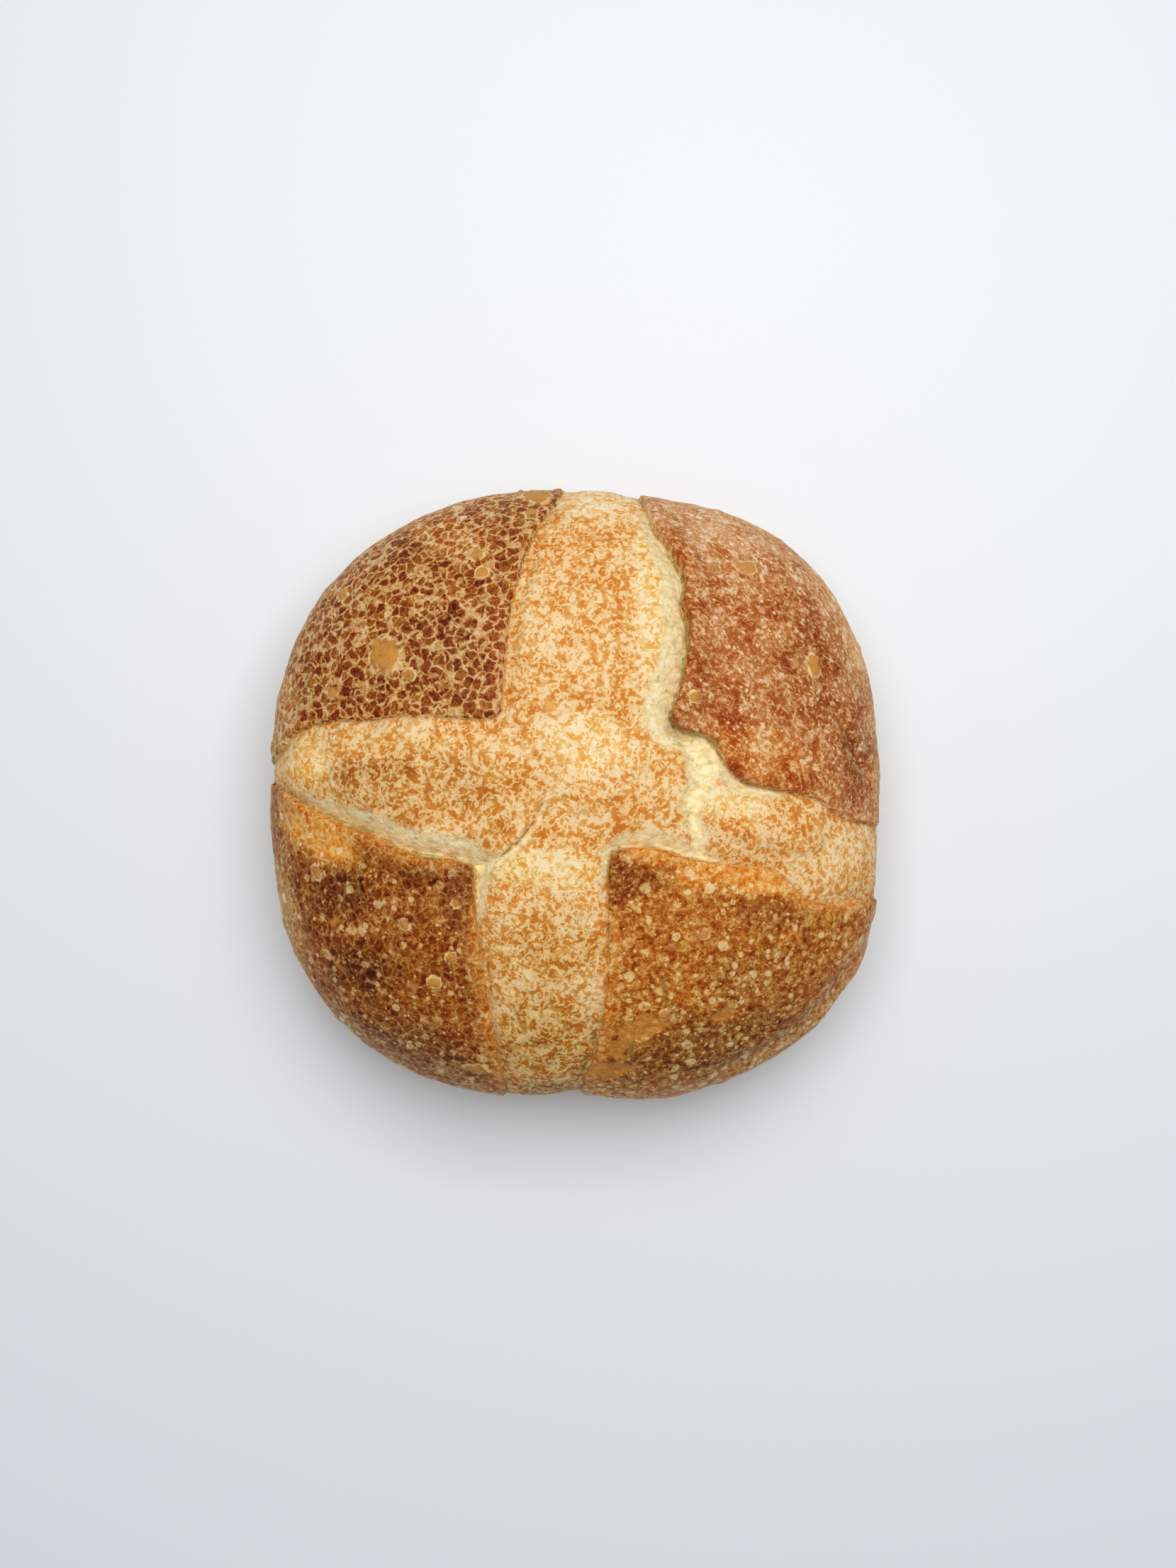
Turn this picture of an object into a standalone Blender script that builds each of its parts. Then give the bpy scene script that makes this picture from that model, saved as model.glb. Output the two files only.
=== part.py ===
"""A round bread loaf (boule) scored with a cross, as one solid standing on its flat base.

Metres, +Z up, origin at the middle of the base. The front of the loaf is -Y.
A cube is divided into a grid, rounded into the loaf's dome, and its crust is then
raised and cut along the borders of the four crust flaps that opened in the oven.
"""

import math

import bmesh
import bpy
import numpy as np
from mathutils import Vector, noise

# Driving sizes, in millimetres
WIDTH = 200.0
DEPTH = 199.4
HEIGHT = 90.0
BELLY_HEIGHT = 33.0
BASE_SHARE = 0.79

# How square the dome, the underside and each corner of the plan are (2 is round)
DOME_POWER = 2.3
UNDER_POWER = 2.1
CORNER_POWERS = {45: 2.53, 135: 2.39, 225: 2.50, 315: 2.66}

# Bumps and dents of the outline: compass angle from +X in degrees, height in mm, half width in degrees
OUTLINE_BUMPS = ((-27, 2.3, 12), (75, -1.3, 9), (288, 1.6, 8), (270, -1.6, 5))

# Grid of the mesh
TOP_CELLS = 54
SIDE_CELLS = 12
CROWN_SHARE = 0.80

# Crust relief, in millimetres
FLAP_RISE = 1.3
FLAP_WALL = 1.6
ARM_RISE = 3.0
ARM_SHOULDER = 13.0
LIP_REACH = 6.5
SNAP_REACH = 1.6
FLAP_FADE = (22.0, 50.0)
ARM_FADE = (36.0, 66.0)

# Borders of the crust flaps, seen from above: x, y, and how far the torn lip stands up, in mm
FLAPS = {
    "north_west": (
        (-101, 9, 0.0), (-95, 13, 0.2), (-90, 19.5, 0.3), (-82.5, 22.3, 0.4), (-74, 24, 0.5),
        (-67, 23.3, 0.5), (-54, 25, 0.6), (-40, 24.6, 0.7), (-29, 23.4, 0.8), (-23, 24, 0.8),
        (-22.6, 30, 0.8), (-22, 38, 0.9), (-21, 49, 0.9), (-19.8, 60, 0.8), (-17, 71, 0.6),
        (-13, 82, 0.5), (-8.8, 90, 0.3), (-4, 97, 0.0), (-3, 104, 0.0),
    ),
    "north_east": (
        (20.5, 104, 0.0), (22, 95, 0.6), (24.8, 86.4, 1.6), (28.2, 81, 2.0), (31.2, 76, 2.4),
        (34.6, 70, 2.8), (35.4, 65.8, 2.4), (34, 59.5, 2.8), (35.8, 54, 3.0), (36.2, 47, 3.2),
        (35, 40.5, 3.2), (33.7, 34, 3.2), (31.9, 28.5, 3.4), (30.2, 24, 3.4), (33, 20.5, 2.8),
        (38, 19.3, 2.4), (42.5, 18, 2.4), (45.5, 13.5, 2.2), (49.3, 7, 2.0), (54.5, 3.4, 1.6),
        (63, 2, 1.2), (72.4, 0.2, 0.8), (78.3, -2, 0.3), (84, -7.5, 0.0), (105, -11, 0.0),
    ),
    "south_west": (
        (-25, -104, 0.0), (-22, -94.5, 0.2), (-24, -84.5, 0.5), (-26, -72.5, 0.8), (-27.4, -61, 0.9),
        (-29.3, -49.7, 0.9), (-30.6, -38.6, 1.0), (-31.1, -29, 1.6), (-31, -23.6, 2.6), (-34.3, -21, 2.8),
        (-41.3, -20.3, 3.0), (-49, -19.3, 3.0), (-56.8, -16.6, 2.8), (-63.6, -12.2, 2.6), (-70.5, -10.6, 2.4),
        (-78.7, -7, 2.0), (-86.2, -3.5, 1.4), (-92.3, 0.6, 0.7), (-101, 4, 0.0),
    ),
    "south_east": (
        (103, -35, 0.0), (92, -33.4, 0.0), (84, -34.6, 0.2), (77, -35, 0.3), (71, -32, 0.4),
        (67, -27.3, 0.5), (61, -23.4, 0.7), (50, -22.6, 0.9), (41, -21.2, 1.2), (34, -19.7, 1.6),
        (28, -17.2, 2.0), (21.5, -16.3, 2.0), (14.5, -16.8, 1.6), (11.3, -19, 1.2), (10.8, -29.8, 0.9),
        (11.1, -40.7, 0.7), (11, -54, 0.6), (10, -65.3, 0.6), (8.5, -76, 0.5), (5.8, -85, 0.4),
        (2.5, -95, 0.0), (2, -104, 0.0),
    ),
}
FLAP_CORNERS = {
    "north_west": ((-60, 190), (-190, 60)),
    "north_east": ((190, 60), (60, 190)),
    "south_west": ((-190, -60), (-60, -190)),
    "south_east": ((60, -190), (190, -60)),
}

# Grooves torn or cracked into the bloomed crust: x, y, half width and depth, in mm
GROOVES = (
    # beside the north east lip
    ((21, 97, 2.0, 0.6), (24, 85, 4.0, 1.8), (28, 74, 5.0, 2.6), (30, 64, 5.5, 3.2), (31, 52, 6.2, 3.8),
     (30.5, 42, 7.0, 4.2), (28.5, 32, 6.5, 4.0), (29.5, 23, 5.5, 3.6)),
    # from its corner down to the south east flap
    ((33, 19, 4.5, 3.4), (38, 12, 6.0, 3.2), (39, 3, 6.0, 3.0), (36.5, -4, 5.0, 3.4), (38.5, -12, 4.5, 2.6),
     (39, -18, 4.0, 2.2)),
    # under the lip on the east side
    ((43, 12, 4.0, 2.6), (50, 2.5, 4.0, 2.4), (61, -0.5, 3.4, 2.2), (72, -2, 2.4, 1.2), (80, -6, 1.6, 0.3)),
    # north of the south east flap
    ((9, -14, 2.6, 1.0), (18, -13.5, 3.6, 2.2), (28, -14, 4.2, 2.6), (38, -16.5, 4.0, 2.4), (50, -20.5, 2.6, 1.2),
     (62, -21, 1.8, 0.4)),
    # north of the south west flap
    ((-94, 3, 1.5, 0.4), (-84, -1.5, 3.0, 1.6), (-70, -7.5, 3.8, 2.6), (-58, -12.5, 4.2, 3.0),
     (-48, -16, 4.4, 3.2), (-38, -17.5, 4.4, 3.0), (-29, -20.5, 4.0, 2.4)),
    # tongue of the west arm lying over the middle
    ((-4.5, 11, 1.6, 0.6), (-6.4, 5, 2.2, 1.6), (-8.4, -1.5, 2.4, 2.0), (-11, -8.6, 2.6, 2.2),
     (-15.5, -15, 2.8, 2.4), (-22.5, -20, 3.0, 2.4)),
    # split along the south west flap's inner side
    ((-28.6, -26, 2.2, 1.6), (-27.6, -40, 2.2, 1.4), (-26.4, -52, 2.4, 1.6), (-25, -66, 2.0, 0.8)),
    # hollow along the north west flap's inner side
    ((-20, 28, 2.2, 0.8), (-19, 48, 2.6, 1.6), (-16.5, 62, 2.6, 1.6), (-12, 76, 2.2, 1.0)),
    # crack at the front end of the south arm
    ((6.2, -70, 2.0, 0.8), (6.6, -79, 2.4, 1.8), (4, -87, 2.4, 2.0), (0.5, -93, 2.2, 1.4)),
    # crease round the south east shoulder
    ((97, -42, 1.5, 0.4), (88, -58, 3.0, 1.5), (76, -72, 3.2, 1.6), (60, -83, 3.0, 1.5), (44, -89, 2.0, 0.4)),
    # dark fold on the east side
    ((86, 19, 3.2, 1.6), (90, 12, 3.6, 2.2), (92, 5, 3.0, 1.4)),
)

# Blisters, flakes and lumps: x, y, half lengths along x and y, turn in degrees, and height, in mm
BLISTERS = (
    (-57, 42.5, 5.0, 6.4, 10, 1.6),
    (-29, 66, 4.0, 3.4, 0, 0.9),
    (-14, 93, 6.5, 3.0, -20, 1.8),
    (51, 65, 4.6, 3.2, -10, 0.9),
    (70, 35, 3.4, 5.4, 10, 1.0),
    (47, -69, 4.6, 3.4, 25, 1.2),
    (22, -69, 8.0, 5.2, 10, 1.0),
    (12, -88, 7.0, 5.0, 20, 1.0),
    (-62, -30, 7.0, 5.0, -20, 0.9),
    (4, 3, 12.0, 9.0, 0, 1.0),
    (9, 50, 10.0, 24.0, 0, 1.0),
    (-8, -62, 9.0, 20.0, 0, 0.9),
    (-58, 4, 20.0, 8.0, 0, 0.9),
    (62, -12, 17.0, 6.5, -8, 1.2),
)


def smoothstep(low, high, values):
    share = np.clip((values - low) / (high - low), 0.0, 1.0)
    return share * share * (3.0 - 2.0 * share)


def outline_radius(angles):
    """Plan radius of the belly at each angle."""
    weights = {turn: np.maximum(0.0, np.cos(angles - math.radians(turn))) ** 2 for turn in CORNER_POWERS}
    total = sum(weights.values())
    power = sum(weights[turn] * CORNER_POWERS[turn] for turn in weights) / total
    across = np.abs(np.cos(angles)) / (WIDTH / 2)
    along = np.abs(np.sin(angles)) / (DEPTH / 2)
    radius = (across**power + along**power) ** (-1.0 / power)
    for turn, height, spread in OUTLINE_BUMPS:
        away = (np.degrees(angles) - turn + 180.0) % 360.0 - 180.0
        radius = radius + height * np.exp(-((away / spread) ** 2))
    return radius


def dome_height(x, y):
    """Height of the smooth dome over a point of the plan."""
    share = np.clip(np.hypot(x, y) / outline_radius(np.arctan2(y, x)), 0.0, 1.0)
    return BELLY_HEIGHT + (HEIGHT - BELLY_HEIGHT) * (1.0 - share**DOME_POWER) ** (1.0 / DOME_POWER)


def meridian(steps=600):
    """Share of the way down the skin, radius share and height, from the crown to the edge of the base."""
    turn = np.linspace(0.0, math.pi / 2, steps)
    dome_r = np.sin(turn) ** (2.0 / DOME_POWER)
    dome_z = BELLY_HEIGHT + (HEIGHT - BELLY_HEIGHT) * np.cos(turn) ** (2.0 / DOME_POWER)
    under_r = BASE_SHARE + (1.0 - BASE_SHARE) * np.cos(turn) ** (2.0 / UNDER_POWER)
    under_z = BELLY_HEIGHT * (1.0 - np.sin(turn) ** (2.0 / UNDER_POWER))
    radius = np.concatenate([dome_r, under_r[1:]])
    height = np.concatenate([dome_z, under_z[1:]])
    lengths = np.hypot(np.diff(radius) * WIDTH / 2, np.diff(height))
    share = np.concatenate([[0.0], np.cumsum(lengths)])
    return share / share[-1], radius, height


def loaf_skin(cube):
    """The smooth loaf's points for points on a cube from -1 to 1."""
    top = cube[:, 2] > 0.9999
    warped = np.tan(cube[:, :2] * math.pi / 4)
    angles = np.arctan2(warped[:, 1], warped[:, 0])
    reach = np.arctan(np.hypot(warped[:, 0], warped[:, 1]))
    edge = reach * CROWN_SHARE / math.atan(math.sqrt(2.0))
    down = (1.0 - cube[:, 2]) / 2.0
    share = np.where(top, edge, edge + (1.0 - edge) * down)
    table_share, table_radius, table_height = meridian()
    radius = np.interp(share, table_share, table_radius) * outline_radius(angles)
    height = np.interp(share, table_share, table_height)
    return np.stack([radius * np.cos(angles), radius * np.sin(angles), height], axis=1)


def rounded(points, rounds=2):
    """The polyline with its corners cut, so that it runs as a curve."""
    line = np.array(points, float)
    for _ in range(rounds):
        ahead = 0.75 * line[:-1] + 0.25 * line[1:]
        behind = 0.25 * line[:-1] + 0.75 * line[1:]
        middle = np.stack([ahead, behind], axis=1).reshape(-1, line.shape[1])
        line = np.concatenate([line[:1], middle, line[-1:]])
    return line


def nearest_on(line, x, y):
    """For each point: its distance to the line, the direction away from it, and the line's other values there."""
    start, end = line[:-1], line[1:]
    run = end[:, :2] - start[:, :2]
    best = np.full(len(x), np.inf)
    away = np.zeros((len(x), 2))
    values = np.zeros((len(x), line.shape[1] - 2))
    for first, last, step in zip(start, end, run):
        along = ((x - first[0]) * step[0] + (y - first[1]) * step[1]) / (step @ step)
        along = np.clip(along, 0.0, 1.0)
        gap_x = x - (first[0] + along * step[0])
        gap_y = y - (first[1] + along * step[1])
        gap = np.hypot(gap_x, gap_y)
        closer = gap < best
        best = np.where(closer, gap, best)
        safe = np.maximum(gap, 1e-9)
        away[closer] = np.stack([gap_x / safe, gap_y / safe], axis=1)[closer]
        here = first[2:] + along[:, None] * (last[2:] - first[2:])
        values[closer] = here[closer]
    return best, away, values


def inside(outline, x, y):
    """Whether each point lies inside the closed outline."""
    found = np.zeros(len(x), bool)
    for (x0, y0), (x1, y1) in zip(outline, np.roll(outline, -1, axis=0)):
        crosses = (y0 > y) != (y1 > y)
        if y0 != y1:
            found ^= crosses & (x < (x1 - x0) * (y - y0) / (y1 - y0) + x0)
    return found


def flap_field(x, y):
    """Distance into the nearest flap (negative outside), the direction into it, and its lip's height."""
    depth = np.full(len(x), -np.inf)
    inward = np.zeros((len(x), 2))
    lip = np.zeros(len(x))
    for name, border in FLAPS.items():
        line = rounded(border)
        gap, away, values = nearest_on(line, x, y)
        closed = np.concatenate([line[:, :2], np.array(FLAP_CORNERS[name], float)])
        within = inside(closed, x, y)
        signed = np.where(within, gap, -gap)
        nearer = signed > depth
        depth = np.where(nearer, signed, depth)
        inward[nearer] = np.where(within[:, None], away, -away)[nearer]
        lip = np.where(nearer, values[:, 0], lip)
    return depth, inward, lip


def uneven(points, size, seed):
    """Smooth noise from about -1 to 1 with lumps of this size."""
    shift = Vector((seed * 17.3, seed * 5.1, seed * 29.7))
    return np.array([noise.noise(Vector(point) / size + shift) for point in points])


def snapped(points):
    """The grid with the points that lie near a flap border moved onto it, so that its edges follow the tear."""
    x, y = points[:, 0], points[:, 1]
    depth, inward, _ = flap_field(x, y)
    near = (np.abs(depth) < SNAP_REACH) & (points[:, 2] > FLAP_FADE[1])
    x = x - np.where(near, inward[:, 0] * depth, 0.0)
    y = y - np.where(near, inward[:, 1] * depth, 0.0)
    height = np.where(near, dome_height(x, y), points[:, 2])
    return np.stack([x, y, height], axis=1)


def blister_field(x, y):
    height = np.zeros(len(x))
    for centre_x, centre_y, long_x, long_y, turn, rise in BLISTERS:
        cosine, sine = math.cos(math.radians(turn)), math.sin(math.radians(turn))
        across = ((x - centre_x) * cosine + (y - centre_y) * sine) / long_x
        along = ((y - centre_y) * cosine - (x - centre_x) * sine) / long_y
        height += rise * np.clip(1.0 - across**2 - along**2, 0.0, None) ** 0.75
    return height


def groove_field(x, y):
    depth = np.zeros(len(x))
    for points in GROOVES:
        gap, _, values = nearest_on(rounded(points), x, y)
        share = np.clip(gap / np.maximum(values[:, 0], 0.1), 0.0, 1.0)
        depth = np.maximum(depth, values[:, 1] * (1.0 - share**2) ** 1.5)
    return depth


def crust_relief(points, normals):
    """The points moved out to the crust's real surface."""
    x, y, z = points.T
    depth, _, lip = flap_field(x, y)
    on_flap = smoothstep(-FLAP_WALL, -0.05, depth)
    flap = on_flap * (FLAP_RISE + lip * np.exp(-((np.maximum(depth, 0.0) / LIP_REACH) ** 2)))
    shoulder = np.clip(-depth / ARM_SHOULDER, 0.0, 1.0)
    arm = ARM_RISE * (1.0 - (1.0 - shoulder) ** 2)
    rise = (flap + blister_field(x, y)) * smoothstep(*FLAP_FADE, z)
    rise += arm * smoothstep(*ARM_FADE, z)
    rise -= groove_field(x, y) * (1.0 - on_flap) * smoothstep(*FLAP_FADE, z)
    lumps = 0.9 * uneven(points, 34.0, 1) + 0.45 * uneven(points, 13.0, 2)
    rise += lumps * smoothstep(2.0, 16.0, z)
    return points + normals * rise[:, None]


def split_along_borders(grid, points):
    """Each four-sided face on top cut across, along the flap border where one crosses it."""
    depth, _, _ = flap_field(points[:, 0], points[:, 1])
    faces = [face for face in grid.faces if len(face.verts) == 4]
    for face in faces:
        corners = list(face.verts)
        first, second, third, fourth = (depth[corner.index] for corner in corners)
        if abs(first - third) < abs(second - fourth):
            bmesh.utils.face_split(face, corners[0], corners[2])
        else:
            bmesh.utils.face_split(face, corners[1], corners[3])


def cube_grid():
    """A cube with a fine grid on top, coarser rows down its sides and one face below."""
    grid = bmesh.new()
    bmesh.ops.create_cube(grid, size=2.0)
    level = [edge for edge in grid.edges if abs(edge.verts[0].co.z - edge.verts[1].co.z) < 0.1]
    bmesh.ops.subdivide_edges(grid, edges=level, cuts=TOP_CELLS - 1, use_grid_fill=True)
    upright = [edge for edge in grid.edges if abs(edge.verts[0].co.z - edge.verts[1].co.z) > 0.1]
    bmesh.ops.subdivide_edges(grid, edges=upright, cuts=SIDE_CELLS - 1, use_grid_fill=True)
    below = [face for face in grid.faces if face.calc_center_median().z < -0.9999]
    bmesh.ops.dissolve_faces(grid, faces=below, use_verts=True)
    return grid


def fit_to_size(points):
    """Centres the loaf over the origin and gives it its real width, depth and height."""
    low, high = points.min(axis=0), points.max(axis=0)
    middle = (low + high) / 2
    middle[2] = 0.0
    scale = np.array([WIDTH / (high[0] - low[0]), DEPTH / (high[1] - low[1]), HEIGHT / high[2]])
    return (points - middle) * scale


def vertex_normals(grid, points):
    for vert, point in zip(grid.verts, points):
        vert.co = point
    grid.normal_update()
    return np.array([vert.normal[:] for vert in grid.verts])


def build_loaf(collection, material):
    grid = cube_grid()
    grid.verts.ensure_lookup_table()
    cube = np.array([vert.co[:] for vert in grid.verts])
    on_base = cube[:, 2] < -0.9999
    points = snapped(loaf_skin(cube))
    normals = vertex_normals(grid, points)
    split_along_borders(grid, points)
    points = crust_relief(points, normals)
    points[on_base, 2] = 0.0
    points = fit_to_size(points)
    points[on_base, 2] = 0.0
    for vert, point in zip(grid.verts, points / 1000.0):
        vert.co = point
    bmesh.ops.recalc_face_normals(grid, faces=grid.faces)
    mesh = bpy.data.meshes.new("boule")
    grid.to_mesh(mesh)
    grid.free()
    mesh.shade_smooth()
    mesh.set_sharp_from_angle(angle=math.radians(50.0))
    mesh.materials.append(material)
    loaf = bpy.data.objects.new("boule", mesh)
    collection.objects.link(loaf)


def crust_material():
    material = bpy.data.materials.new("crust")
    material.use_nodes = True
    shader = material.node_tree.nodes["Principled BSDF"]
    shader.inputs["Base Color"].default_value = (0.48, 0.22, 0.075, 1.0)
    shader.inputs["Roughness"].default_value = 0.62
    shader.inputs["Metallic"].default_value = 0.0
    return material


def main():
    for obj in list(bpy.data.objects):
        bpy.data.objects.remove(obj)
    collection = bpy.data.collections.new("boule")
    bpy.context.scene.collection.children.link(collection)
    build_loaf(collection, crust_material())


main()
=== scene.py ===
"""A scored boule on a pale floor: the loaf's fine crust, its colours, the camera and the light."""

import math

import bpy
import numpy as np
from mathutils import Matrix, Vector, noise

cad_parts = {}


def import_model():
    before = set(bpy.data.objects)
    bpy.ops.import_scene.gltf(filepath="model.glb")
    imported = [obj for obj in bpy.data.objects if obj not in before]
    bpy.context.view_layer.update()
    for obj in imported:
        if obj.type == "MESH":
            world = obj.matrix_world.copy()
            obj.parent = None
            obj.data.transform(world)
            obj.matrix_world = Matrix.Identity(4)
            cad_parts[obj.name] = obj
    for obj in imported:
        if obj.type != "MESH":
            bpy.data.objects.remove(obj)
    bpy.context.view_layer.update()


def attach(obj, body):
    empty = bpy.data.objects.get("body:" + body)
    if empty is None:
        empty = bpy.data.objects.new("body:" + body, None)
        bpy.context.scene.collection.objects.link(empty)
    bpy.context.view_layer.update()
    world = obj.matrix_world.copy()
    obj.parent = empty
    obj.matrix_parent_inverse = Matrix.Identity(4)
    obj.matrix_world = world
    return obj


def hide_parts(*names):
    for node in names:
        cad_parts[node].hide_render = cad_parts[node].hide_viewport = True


MM_PER_METRE = 1000.0

# Sizes in millimetres
WIDTH = 199.8
DEPTH = 199.2
HEIGHT = 89.9
BELLY_HEIGHT = 33.0
BASE_SHARE = 0.79
DOME_POWER = 2.3
UNDER_POWER = 2.1
CORNER_POWERS = {45: 2.53, 135: 2.39, 225: 2.50, 315: 2.66}
# Bumps and dents of the outline: angle from +X in degrees, height, half width in degrees
OUTLINE_BUMPS = ((-27, 2.3, 12), (75, -1.3, 9), (288, 1.6, 8), (270, -1.6, 5))

# Grid of the mesh: the top's edges are split twice, its sides once
TOP_SPLITS = ((15, 15))
SIDE_CELLS = 44
CROWN_SHARE = 0.80
BASE_RINGS = 6
RING_SHARE = 0.84
# A cube point further out than this lies on the cube's face
CUBE_FACE = 0.9999

# Crust relief
FLAP_RISE = 1.3
ARM_RISE = 3.0
ARM_SHOULDER = 13.0
LIP_REACH = 6.5
LIP_ROUNDING = 0.18
LIP_ROUND_REACH = 1.1
OVERHANG = 0.36
OVERHANG_REACH = 2.4
NIBBLE = 0.35
NIBBLE_REACH = 2.0
# Distance from a lip over which the torn crumb counts as close to it
NEAR_LIP = 2.5
BASE_DIMPLES = 0.35
TEAR_DEPTH = 1.25
TEAR_REACH = 3.1
PEEL_DEPTH = 0.5
BLISTER_RISE = 0.8
# A lip lower than this has no torn crumb beside it
TORN_LIP = 1.1
# A point this far outside the border still counts as on the flap
ON_FLAP = -0.02
# Stands for a place well outside a tear
FAR = 20.0

# How the grid is drawn onto the flap borders
SNAP_REACH = 4.0
SNAP_POWER = 1.35
SNAP_GAP = 0.21

# Heights above the floor between which each form sets in
FLAP_FADE = (22.0, 50.0)
ARM_FADE = (36.0, 66.0)
SNAP_FADE = (44.0, 56.0)
OVERHANG_FADE = (58.0, 80.0)
SKIN_FADE = (30.0, 50.0)
PEBBLE_FADE = (1.0, 8.0)
FOLD_FADE = (16.0, 34.0)
SWELL_FADE = (2.0, 16.0)
BLISTER_LOWEST = 40.0
PEEL_LOWEST = 30.0

# Small blisters: radius, how much larger they get, and height as a share of the radius
SMALL_COUNT = 330
SMALL_RADIUS = 0.8
SMALL_SPREAD = 1.5
SMALL_RISE = 0.22
SMALL_LOWEST = 8.0
SMALL_SEED = 7

# Layers of unevenness: size, height, seed
RAGGED = ((3.2, 0.55, 3), (1.4, 0.3, 4))
WRINKLES = ((6.0, 0.34, 8), (1.6, 0.12, 10))
PEBBLES = ((7.5, 0.30, 11), (2.8, 0.16, 12), (1.5, 0.07, 13))
SWELLS = ((34.0, 0.9, 1), (13.0, 0.45, 2))
TINT_WOBBLE = ((9.0, 1.0, 14), (4.0, 0.6, 15))

# Borders of the crust flaps, seen from above: x, y, and how far the torn lip stands up
FLAPS = {
    "north_west": (
        (-101, 9, 0.0), (-95, 13, 0.2), (-90, 19.5, 0.3), (-82.5, 22.3, 0.4), (-74, 24, 0.5),
        (-67, 23.3, 0.5), (-54, 25, 0.6), (-40, 24.6, 0.7), (-29, 23.4, 0.8), (-23, 24, 0.8),
        (-22.6, 30, 0.8), (-22, 38, 0.9), (-21, 49, 0.9), (-19.8, 60, 0.8), (-17, 71, 0.6),
        (-13, 82, 0.5), (-8.8, 90, 0.3), (-4, 97, 0.0), (-3, 104, 0.0),
    ),
    "north_east": (
        (20.5, 104, 0.0), (22, 95, 0.6), (24.8, 86.4, 1.6), (28.2, 81, 2.0), (31.2, 76, 2.4),
        (34.6, 70, 2.8), (35.4, 65.8, 2.4), (34, 59.5, 2.8), (35.8, 54, 3.0), (36.2, 47, 3.2),
        (35, 40.5, 3.2), (33.7, 34, 3.2), (31.9, 28.5, 3.4), (30.2, 24, 3.4), (33, 20.5, 2.8),
        (38, 19.3, 2.4), (42.5, 18, 2.4), (45.5, 13.5, 2.2), (49.3, 7, 2.0), (54.5, 3.4, 1.6),
        (63, 2, 1.2), (72.4, 0.2, 0.8), (78.3, -2, 0.3), (84, -7.5, 0.0), (105, -11, 0.0),
    ),
    "south_west": (
        (-25, -104, 0.0), (-22, -94.5, 0.2), (-24, -84.5, 0.5), (-26, -72.5, 0.8), (-27.4, -61, 0.9),
        (-29.3, -49.7, 0.9), (-30.6, -38.6, 1.0), (-31.1, -29, 1.6), (-31, -23.6, 2.6), (-34.3, -21, 2.8),
        (-41.3, -20.3, 3.0), (-49, -19.3, 3.0), (-56.8, -16.6, 2.8), (-63.6, -12.2, 2.6),
        (-70.5, -10.6, 2.4), (-78.7, -7, 2.0), (-86.2, -3.5, 1.4), (-92.3, 0.6, 0.7), (-101, 4, 0.0),
    ),
    "south_east": (
        (103, -35, 0.0), (92, -33.4, 0.0), (84, -34.6, 0.2), (77, -35, 0.3), (71, -32, 0.4),
        (67, -27.3, 0.5), (61, -23.4, 0.7), (50, -22.6, 0.9), (41, -21.2, 1.2), (34, -19.7, 1.6),
        (28, -17.2, 2.0), (21.5, -16.3, 2.0), (14.5, -16.8, 1.6), (11.3, -19, 1.2), (10.8, -29.8, 0.9),
        (11.1, -40.7, 0.7), (11, -54, 0.6), (10, -65.3, 0.6), (8.5, -76, 0.5), (5.8, -85, 0.4),
        (2.5, -95, 0.0), (2, -104, 0.0),
    ),
}
FLAP_CORNERS = {
    "north_west": ((-60, 190), (-190, 60)),
    "north_east": ((190, 60), (60, 190)),
    "south_west": ((-190, -60), (-60, -190)),
    "south_east": ((60, -190), (190, -60)),
}

# Rifts of torn crumb in the bloomed crust: x, y, half width and depth
RIFTS = (
    ((32, 20, 4.0, 3.0), (37.5, 14, 5.4, 3.2), (39.5, 6, 5.2, 2.6), (37, 0, 4.4, 2.6), (36, -6, 3.8, 2.8),
     (38, -12, 3.4, 2.0), (39.5, -18, 3.0, 2.0)),
    ((-4.5, 11, 0.8, 0.3), (-6.4, 5, 1.0, 0.5), (-8.4, -1.5, 1.1, 0.7), (-11, -8.6, 1.3, 0.9),
     (-15.5, -15, 1.6, 1.2), (-22.5, -20, 2.2, 1.8), (-28, -22, 3.0, 2.2)),
)

# Folds and hollows of the crust: x, y, half width and depth
FOLDS = (
    ((-20, 28, 2.2, 0.6), (-19, 48, 2.6, 1.2), (-16.5, 62, 2.6, 1.2), (-12, 76, 2.2, 0.8)),
    ((97, -42, 1.5, 0.4), (88, -58, 3.0, 1.5), (76, -72, 3.2, 1.6), (60, -83, 3.0, 1.5),
     (44, -89, 2.0, 0.4)),
    ((84, 22, 2.0, 0.8), (87, 18, 2.6, 1.8), (90, 12.6, 2.8, 2.4), (93.5, 6, 2.4, 1.4)),
)

# Fine dark cracks: x, y, half width and depth
CRACKS = (
    ((6.2, -70, 0.7, 0.5), (6.8, -77, 0.9, 0.9), (4.4, -84, 0.9, 1.0), (0.8, -92, 0.8, 0.8)),
    ((24.5, -53, 0.7, 0.5), (28.6, -60.4, 0.8, 0.7), (27.6, -64, 0.8, 0.7), (32.8, -70.2, 0.7, 0.5)),
    ((17.6, -78, 0.7, 0.5), (17.2, -85.7, 0.7, 0.6), (15.5, -92.3, 0.7, 0.4)),
    ((-65.5, -19.5, 0.7, 0.6), (-67.8, -22.5, 0.7, 0.7), (-66.8, -28, 0.7, 0.4)),
    ((-8.8, 0, 0.5, 0.2), (-12.4, -8.4, 0.6, 0.4), (-17, -14.6, 0.7, 0.5), (-24, -20.4, 0.8, 0.6)),
    ((-27.4, -37, 0.5, 0.3), (-26.8, -46, 0.7, 0.5), (-26.2, -55, 0.7, 0.5), (-25.6, -63, 0.5, 0.3)),
)

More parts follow.
